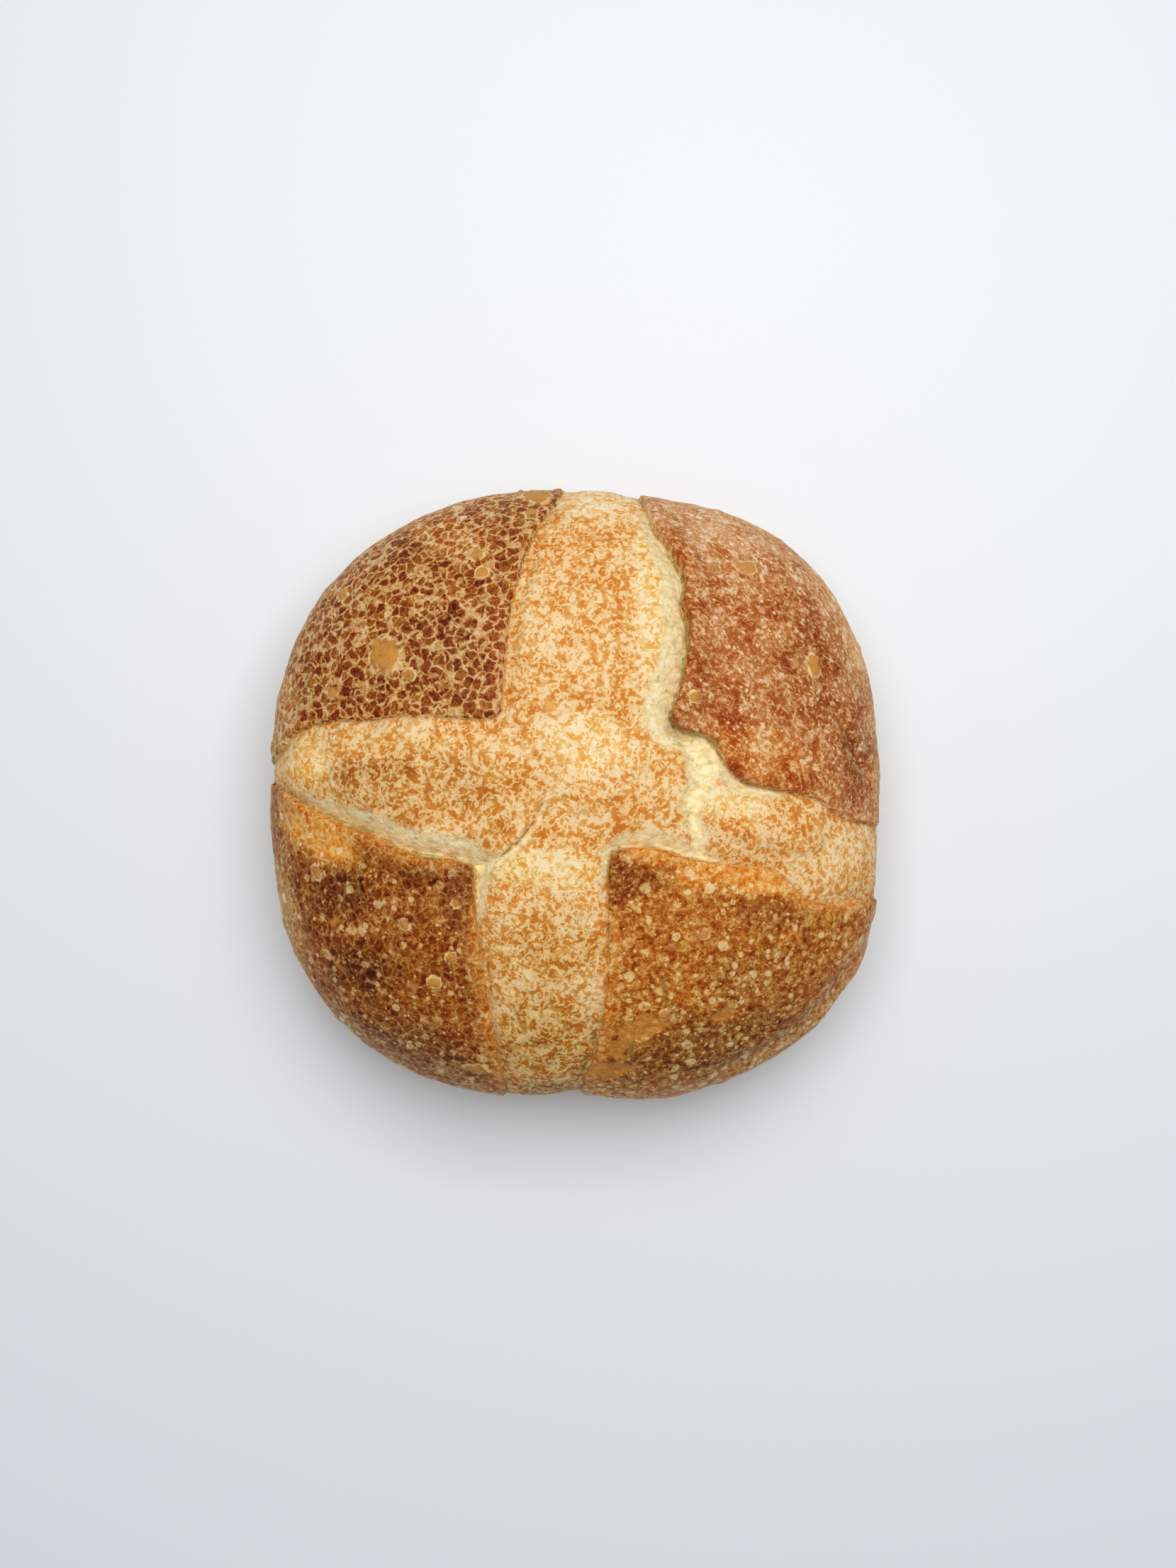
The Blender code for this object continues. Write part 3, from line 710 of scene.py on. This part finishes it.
def cube_grid(name):
    """A cube with a fine grid on top, coarser rows down its sides and a few rings below."""
    bpy.ops.mesh.primitive_cube_add(size=2.0)
    loaf = bpy.context.active_object
    loaf.name = name
    bpy.ops.object.mode_set(mode="EDIT")
    bpy.ops.mesh.select_mode(type="EDGE")
    for parts in TOP_SPLITS:
        select_edges(loaf, upright=False)
        bpy.ops.mesh.subdivide(number_cuts=parts - 1)
    select_edges(loaf, upright=True)
    bpy.ops.mesh.subdivide(number_cuts=SIDE_CELLS - 1)
    bpy.ops.object.mode_set(mode="OBJECT")
    centres = np.empty(len(loaf.data.polygons) * 3)
    loaf.data.polygons.foreach_get("center", centres)
    below = centres.reshape(-1, 3)[:, 2] < -CUBE_FACE
    bpy.ops.object.mode_set(mode="EDIT")
    bpy.ops.mesh.select_mode(type="FACE")
    bpy.ops.mesh.select_all(action="DESELECT")
    bpy.ops.object.mode_set(mode="OBJECT")
    loaf.data.polygons.foreach_set("select", below)
    bpy.ops.object.mode_set(mode="EDIT")
    bpy.ops.mesh.dissolve_faces()
    for _ in range(BASE_RINGS):
        bpy.ops.mesh.extrude_region()
        bpy.ops.transform.resize(value=(RING_SHARE, RING_SHARE, 1.0))
    bpy.ops.mesh.poke()
    bpy.ops.object.mode_set(mode="OBJECT")
    return loaf


def smooth_normals(mesh, points):
    write_points(mesh, points)
    normals = np.empty(len(points) * 3)
    mesh.vertex_normals.foreach_get("vector", normals)
    return normals.reshape(-1, 3)


def fit_to_size(points):
    """Centres the loaf over the origin and gives it its real width, depth and height."""
    low, high = points.min(axis=0), points.max(axis=0)
    middle = (low + high) / 2
    middle[2] = 0.0
    scale = np.array([WIDTH / (high[0] - low[0]), DEPTH / (high[1] - low[1]), HEIGHT / high[2]])
    return (points - middle) * scale


def make_loaf():
    loaf = cube_grid("loaf")
    mesh = loaf.data
    cube = read_points(mesh)
    on_base = cube[:, 2] < -CUBE_FACE
    points = snapped(loaf_skin(cube))
    normals = smooth_normals(mesh, points)
    moved, marks = crust_relief(points, normals)
    flap, arm, pattern = crust_colours(points, marks)
    moved[on_base, 2] = 0.0
    moved = fit_to_size(moved)
    within = 1.0 - smoothstep(0.75, 0.98, np.abs(cube[on_base, :2]).max(axis=1))
    moved[on_base, 2] = within * BASE_DIMPLES * (1.0 + uneven(points[on_base], 22.0, 16))
    write_points(mesh, moved / MM_PER_METRE)
    add_colour(mesh, "flap_tone", flap)
    add_colour(mesh, "arm_tone", arm)
    add_colour(mesh, "pattern", pattern)
    for name in ("depth", "torn", "crack", "blister", "small", "near_lip", "peel"):
        add_value(mesh, name, marks[name])
    bpy.ops.object.shade_smooth()
    return loaf


class Graph:
    """Short names for building a material's nodes."""

    def __init__(self, name):
        self.material = bpy.data.materials.new(name)
        self.material.use_nodes = True
        self.tree = self.material.node_tree
        self.shader = self.tree.nodes["Principled BSDF"]

    def node(self, kind, inputs=(), **settings):
        made = self.tree.nodes.new(kind)
        for key, value in settings.items():
            setattr(made, key, value)
        for key, value in dict(inputs).items():
            self.feed(made.inputs[key], value)
        return made

    def feed(self, socket, value):
        if isinstance(value, bpy.types.NodeSocket):
            self.tree.links.new(value, socket)
        else:
            socket.default_value = value

    def surface(self, inputs):
        """Gives the shader its inputs and hands over the material."""
        for key, value in inputs.items():
            self.feed(self.shader.inputs[key], value)
        return self.material

    def maths(self, operation, first, second=0.0, clamp=False):
        made = self.node("ShaderNodeMath", {0: first, 1: second}, operation=operation, use_clamp=clamp)
        return made.outputs[0]

    def add(self, first, second):
        return self.maths("ADD", first, second)

    def times(self, first, second):
        return self.maths("MULTIPLY", first, second)

    def larger(self, first, second):
        return self.maths("MAXIMUM", first, second)

    def rest(self, share):
        """What the share leaves of 1, never below 0."""
        return self.maths("SUBTRACT", 1.0, share, clamp=True)

    def step(self, value, low, high):
        """0 below low, 1 above high, smooth between; low may be the larger."""
        ends = {0: value, 1: low, 2: high, 3: 0.0, 4: 1.0}
        return self.node("ShaderNodeMapRange", ends, interpolation_type="SMOOTHSTEP").outputs[0]

    def mix(self, share, first, second):
        made = self.node("ShaderNodeMix", data_type="RGBA")
        self.feed(made.inputs[0], share)
        self.feed(made.inputs[6], first)
        self.feed(made.inputs[7], second)
        return made.outputs[2]

    def toned(self, colour, tone, contrast):
        """The colour made darker or lighter by a pattern's tone."""
        power = self.maths("POWER", 2.0, self.times(tone, contrast))
        return self.node("ShaderNodeGamma", {0: colour, 1: power}).outputs[0]

    def vector(self, operation, inputs):
        return self.node("ShaderNodeVectorMath", inputs, operation=operation).outputs[0]

    def value(self, name):
        return self.node("ShaderNodeAttribute", attribute_name=name).outputs["Fac"]

    def colour(self, name):
        """The outputs of a colour that each point of the mesh holds."""
        return self.node("ShaderNodeAttribute", attribute_name=name).outputs

    def parts(self, colour):
        """Red, green and blue of a colour."""
        return self.node("ShaderNodeSeparateColor", {0: colour}).outputs

    def height(self, place):
        return self.node("ShaderNodeSeparateXYZ", {0: place}).outputs[2]

    def place(self, scale=(1.0, 1.0, 1.0), turn=0.0):
        """Object coordinates in millimetres, turned about Z and then scaled."""
        start = self.node("ShaderNodeTexCoord").outputs["Object"]
        inputs = {"Vector": start, "Rotation": (0.0, 0.0, math.radians(turn))}
        turned = self.node("ShaderNodeMapping", inputs, vector_type="POINT").outputs[0]
        return self.vector("MULTIPLY", {0: turned, 1: tuple(MM_PER_METRE * part for part in scale)})

    def noise(self, place, size, detail=2.0, rough=0.5):
        inputs = {"Vector": place, "Scale": 1.0 / size, "Detail": detail, "Roughness": rough}
        return self.node("ShaderNodeTexNoise", inputs).outputs[0]

    def centred(self, place, size, detail=2.0, rough=0.5):
        """Noise about 0 instead of 0.5."""
        return self.add(self.noise(place, size, detail, rough), -0.5)

    def cells(self, place, size, feature="F1"):
        inputs = {"Vector": place, "Scale": 1.0 / size}
        return self.node("ShaderNodeTexVoronoi", inputs, feature=feature).outputs

    def warped(self, place, size, amount):
        """The place pushed about by noise of this size."""
        inputs = {"Vector": place, "Scale": 1.0 / size, "Detail": 2.0}
        wave = self.node("ShaderNodeTexNoise", inputs).outputs[1]
        push = self.vector("SUBTRACT", {0: wave, 1: (0.5, 0.5, 0.5)})
        return self.vector("ADD", {0: place, 1: self.vector("SCALE", {0: push, "Scale": amount})})


def rgba(colour):
    return (*linear(colour), 1.0)


def soft_cells(graph, place, size, ragged, seam):
    """Rounded cells: 0 on the seams between them, 1 inside, and each cell's own tone from 0 to 1."""
    edge = graph.cells(place, size, "DISTANCE_TO_EDGE")["Distance"]
    middle = graph.cells(place, size)
    inner = graph.step(middle["Distance"], 0.86, 0.56)
    body = graph.times(graph.step(graph.add(edge, ragged), 0.0, seam), inner)
    return body, graph.parts(middle["Color"])[0]


def curl_layer(graph, place, size, half_width):
    """Short curled threads: 1 along them."""
    waves = graph.centred(graph.warped(place, size, 1.2 * size), size, 1.0)
    line = graph.step(graph.maths("ABSOLUTE", waves), half_width, 0.35 * half_width)
    return graph.times(line, graph.step(graph.noise(place, 0.9 * size), 0.40, 0.54))


def speck_layer(graph, place, size, radius, share):
    """Round specks: 1 inside them."""
    body = graph.cells(place, size)
    tone = graph.parts(body["Color"])
    chosen = graph.step(tone[0], 1.0 - share, 1.06 - share)
    limit = graph.times(radius / size, graph.add(0.4, graph.times(tone[1], 0.8)))
    inner = graph.step(graph.maths("DIVIDE", body["Distance"], limit), 1.08, 0.78)
    pale = graph.add(0.45, graph.times(tone[2], 0.75))
    return graph.times(graph.times(chosen, inner), pale)


def evenness(graph, place):
    """How strong the patterns are: full on top, weaker down the sides."""
    return graph.add(0.5, graph.times(graph.step(graph.height(place), 24.0, 52.0), 0.5))


def net_pattern(graph, place, mottle):
    """Tone of the net: dark cells of two sizes between pale seams."""
    wavy = graph.warped(graph.warped(place, 3.4, 3.4), 1.2, 1.0)
    ragged = graph.times(mottle, 0.6)
    body, cell_tone = soft_cells(graph, wavy, 3.4, ragged, 0.15)
    small_body, _ = soft_cells(graph, wavy, 1.9, ragged, 0.18)
    tone = graph.add(graph.times(body, -1.45), graph.times(small_body, -0.60))
    return graph.add(graph.add(tone, 1.05), graph.times(graph.add(cell_tone, -0.5), 0.7))


def streak_pattern(graph, place):
    """Tone of the slanting pale streaks."""
    slanted = graph.place((0.46, 1.0, 1.0), turn=34.0)
    streaks = graph.noise(graph.warped(slanted, 2.4, 1.2), 1.35, 3.0, 0.6)
    broad = graph.times(graph.centred(place, 9.0), 2.2)
    return graph.add(graph.add(graph.times(graph.step(streaks, 0.52, 0.70), 1.3), -0.45), broad)


def flap_pattern(graph, place):
    """Tone of the baked flap crust, negative dark and positive pale."""
    pattern = graph.colour("pattern")
    net_share, streak_share, spot_share = graph.parts(pattern["Color"])
    mottle = graph.centred(place, 2.5, 3.0, 0.60)
    rest = graph.rest(graph.add(net_share, streak_share))
    tone = graph.times(net_share, net_pattern(graph, place, mottle))
    tone = graph.add(tone, graph.times(streak_share, streak_pattern(graph, place)))
    tone = graph.add(tone, graph.times(graph.add(rest, 0.45), graph.times(mottle, 3.2)))
    tone = graph.add(tone, graph.times(graph.centred(place, 0.6, 2.0, 0.6), 0.8))
    tone = graph.add(tone, graph.times(rest, -0.30))

    wobbly = graph.warped(place, 1.5, 0.9)
    flecks = speck_layer(graph, wobbly, *FLECKS)
    small_spots, large_spots = (speck_layer(graph, wobbly, *kind) for kind in SPOTS)
    spots = graph.larger(small_spots, large_spots)
    threads = graph.times(curl_layer(graph, place, *FLAP_CURLS), graph.rest(net_share))
    tone = graph.add(tone, graph.times(threads, 0.9))
    tone = graph.add(tone, graph.times(graph.times(flecks, pattern["Alpha"]), 1.35))
    tone = graph.add(tone, graph.times(graph.times(spots, spot_share), 1.3))
    return graph.times(graph.maths("MINIMUM", tone, 1.45), evenness(graph, place))


def bloom_pattern(graph, place, arm_tone):
    """Tone of the bloomed cross: orange patches, fewer where it is pale, under short cream curls."""
    mottle = graph.centred(place, 1.7, 4.0, 0.65)
    broad = graph.centred(graph.warped(place, 6.0, 5.0), 9.0, 3.0, 0.6)
    green = graph.parts(arm_tone)[1]
    shift = graph.add(graph.times(broad, 0.6), graph.times(graph.add(green, -0.38), -0.40))
    blobs = graph.add(graph.noise(graph.warped(place, 2.6, 2.2), 3.8, 2.0, 0.55), shift)
    small_curls, large_curls = (curl_layer(graph, place, *kind) for kind in BLOOM_CURLS)
    tone = graph.add(-0.04, graph.times(graph.step(blobs, 0.28, 0.60), -0.66))
    tone = graph.add(tone, graph.times(graph.larger(small_curls, large_curls), 1.45))
    tone = graph.add(tone, graph.times(graph.centred(place, 0.55, 2.0, 0.6), 0.5))
    tone = graph.add(tone, graph.add(graph.times(mottle, 0.6), graph.times(broad, -1.4)))
    return graph.times(graph.maths("MINIMUM", tone, 1.1), evenness(graph, place))


def torn_crumb(graph, place, near_lip):
    """Colour of the fibrous crumb in the tears, with painted shade in its hollows, along the lips and in its
    small holes.
    """
    strands = graph.noise(graph.warped(graph.place((0.45, 1.0, 1.0), turn=-14.0), 2.0, 1.6), 1.5, 3.0, 0.6)
    hollows = graph.noise(place, 3.0, 3.0, 0.6)
    # Painted shade in the crumb's hollows and along the high lips
    hollow_shade = graph.times(graph.step(hollows, 0.54, 0.68), 0.48)
    lip_shade = graph.times(graph.times(near_lip, graph.step(hollows, 0.42, 0.58)), 0.42)
    pale = graph.mix(graph.step(strands, 0.38, 0.62), rgba(CRUMB_YELLOW), rgba(CRUMB_CREAM))
    crumb = graph.mix(graph.larger(hollow_shade, lip_shade), pale, rgba(SHADED_CRUMB_OLIVE))
    # Painted shade of small holes, more of them beside the lips
    hole_shade = speck_layer(graph, graph.warped(place, 1.5, 1.2), *CRUMB_HOLE_SHADES)
    hole_shade = graph.times(hole_shade, graph.add(0.15, graph.times(near_lip, 0.7)))
    return graph.mix(hole_shade, crumb, rgba(HOLE_SHADE_BROWN))


def flap_colour(graph, place, patchy):
    """Colour of the flaps, with their blisters, the blisters' pale rims, and where flakes have come off."""
    blister = graph.value("blister")
    smooth = graph.step(blister, 0.10, 0.40)
    rim = graph.times(graph.step(blister, 0.0, 0.05), graph.step(blister, 0.28, 0.14))
    peel = graph.add(graph.value("peel"), graph.times(graph.add(patchy, -0.5), 0.5))
    tone = graph.times(flap_pattern(graph, place), graph.rest(graph.times(smooth, 0.7)))
    tone = graph.add(tone, graph.times(graph.step(graph.value("small"), 0.05, 0.4), 0.55))
    colour = graph.toned(graph.colour("flap_tone")["Color"], tone, FLAP_CONTRAST)
    colour = graph.mix(graph.times(smooth, graph.step(patchy, 0.0, 0.7)), colour, rgba(BLISTER_GOLD))
    colour = graph.mix(graph.times(rim, graph.step(patchy, 0.28, 0.72)), colour, rgba(BLISTER_RIM))
    return graph.mix(graph.times(graph.step(peel, -0.02, 0.06), 0.62), colour, rgba(PEEL_ORANGE))


def cross_colour(graph, place, patchy, depth):
    """Colour between the flaps: the bloomed cross, its torn crumb, and a painted shade line along the foot
    of a flap's edge.
    """
    near_lip = graph.value("near_lip")
    arm_tone = graph.colour("arm_tone")["Color"]
    bloom = graph.toned(arm_tone, bloom_pattern(graph, place, arm_tone), BLOOM_CONTRAST)
    roughen = graph.times(graph.centred(place, 1.8, 3.0, 0.6), 3.6)
    torn = graph.step(graph.add(graph.value("torn"), roughen), -0.6, 2.6)
    cross = graph.mix(torn, bloom, torn_crumb(graph, place, near_lip))
    # Painted shade line at the foot of each flap's lip, shaded olive crumb beside the high lips
    broken = graph.add(0.34, graph.times(graph.step(patchy, 0.40, 0.62), 0.45))
    contact_shade = graph.times(graph.step(depth, -1.7, -0.6), graph.times(broken, graph.add(0.45, near_lip)))
    return graph.mix(contact_shade, cross, graph.mix(near_lip, rgba(LIP_FOOT_SHADE_BROWN), rgba(SHADED_CRUMB_OLIVE)))


def skin_height(graph, place):
    """Fine grain of the skin: pimples and wrinkles."""
    grain = graph.noise(place, 1.4, 3.0, 0.65)
    pimples = graph.cells(place, 1.7)["Distance"]
    torn = graph.step(graph.value("torn"), -1.0, 3.0)
    rough = graph.times(grain, graph.add(0.75, graph.times(torn, -0.35)))
    return graph.add(rough, graph.times(pimples, -0.22))


def crust_material():
    graph = Graph("crust")
    place = graph.place()
    patchy = graph.noise(place, 3.0, 2.0)
    nibble = graph.times(graph.centred(place, 1.2, 3.0, 0.6), 1.3)
    depth = graph.add(graph.value("depth"), nibble)
    closed = graph.step(graph.add(graph.height(place), graph.times(patchy, 14.0)), 42.0, 24.0)
    on_flap = graph.larger(graph.step(depth, -0.7, -0.1), closed)
    cross = cross_colour(graph, place, patchy, depth)
    colour = graph.mix(on_flap, cross, flap_colour(graph, place, patchy))
    crack = graph.step(graph.add(graph.value("crack"), graph.times(nibble, 0.5)), 0.35, 0.75)
    colour = graph.mix(graph.times(crack, graph.step(patchy, 0.32, 0.60)), colour, rgba(CRACK_BROWN))
    grain = {"Height": skin_height(graph, place), "Strength": GRAIN_STRENGTH, "Distance": GRAIN_HEIGHT}
    return graph.surface({
        "Base Color": colour,
        "Roughness": graph.add(0.50, graph.times(graph.rest(on_flap), 0.22)),
        "Normal": graph.node("ShaderNodeBump", grain).outputs[0],
        "Specular IOR Level": CRUST_SHINE,
    })


def floor_material():
    return Graph("pale_floor").surface({"Base Color": rgba(FLOOR_WHITE), "Roughness": 0.45})


def make_floor():
    bpy.ops.mesh.primitive_plane_add(size=FLOOR_WIDTH, location=(0.0, 0.0, 0.0))
    floor = bpy.context.active_object
    floor.name = "floor"
    floor.data.materials.append(floor_material())


def make_camera():
    bpy.ops.object.camera_add(location=CAMERA_PLACE)
    camera = bpy.context.active_object
    camera.name = "camera"
    camera.data.lens = CAMERA_LENS
    camera.data.sensor_width = CAMERA_SENSOR
    camera.data.clip_start = 0.01
    bpy.context.scene.camera = camera


def make_light():
    bpy.ops.object.light_add(type="AREA", location=WINDOW_PLACE)
    window = bpy.context.active_object
    window.name = "window"
    window.rotation_euler = (-Vector(WINDOW_PLACE)).to_track_quat("-Z", "Y").to_euler()
    window.data.shape = "RECTANGLE"
    window.data.size, window.data.size_y = WINDOW_SIZE
    window.data.energy = WINDOW_POWER
    window.data.color = WINDOW_COLOUR
    room = bpy.data.worlds.new("room")
    bpy.context.scene.world = room
    room.use_nodes = True
    background = room.node_tree.nodes["Background"]
    background.inputs["Color"].default_value = ROOM_COLOUR
    background.inputs["Strength"].default_value = ROOM_STRENGTH


def main():
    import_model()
    bpy.ops.object.select_all(action="DESELECT")
    make_camera()
    make_light()
    make_floor()
    loaf = make_loaf()
    loaf.data.materials.append(crust_material())
    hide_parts("boule")
    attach(loaf, "root")
    scene = bpy.context.scene
    scene.view_settings.view_transform = "Standard"
    scene.view_settings.look = "None"
    scene.cycles.max_bounces = 5


main()
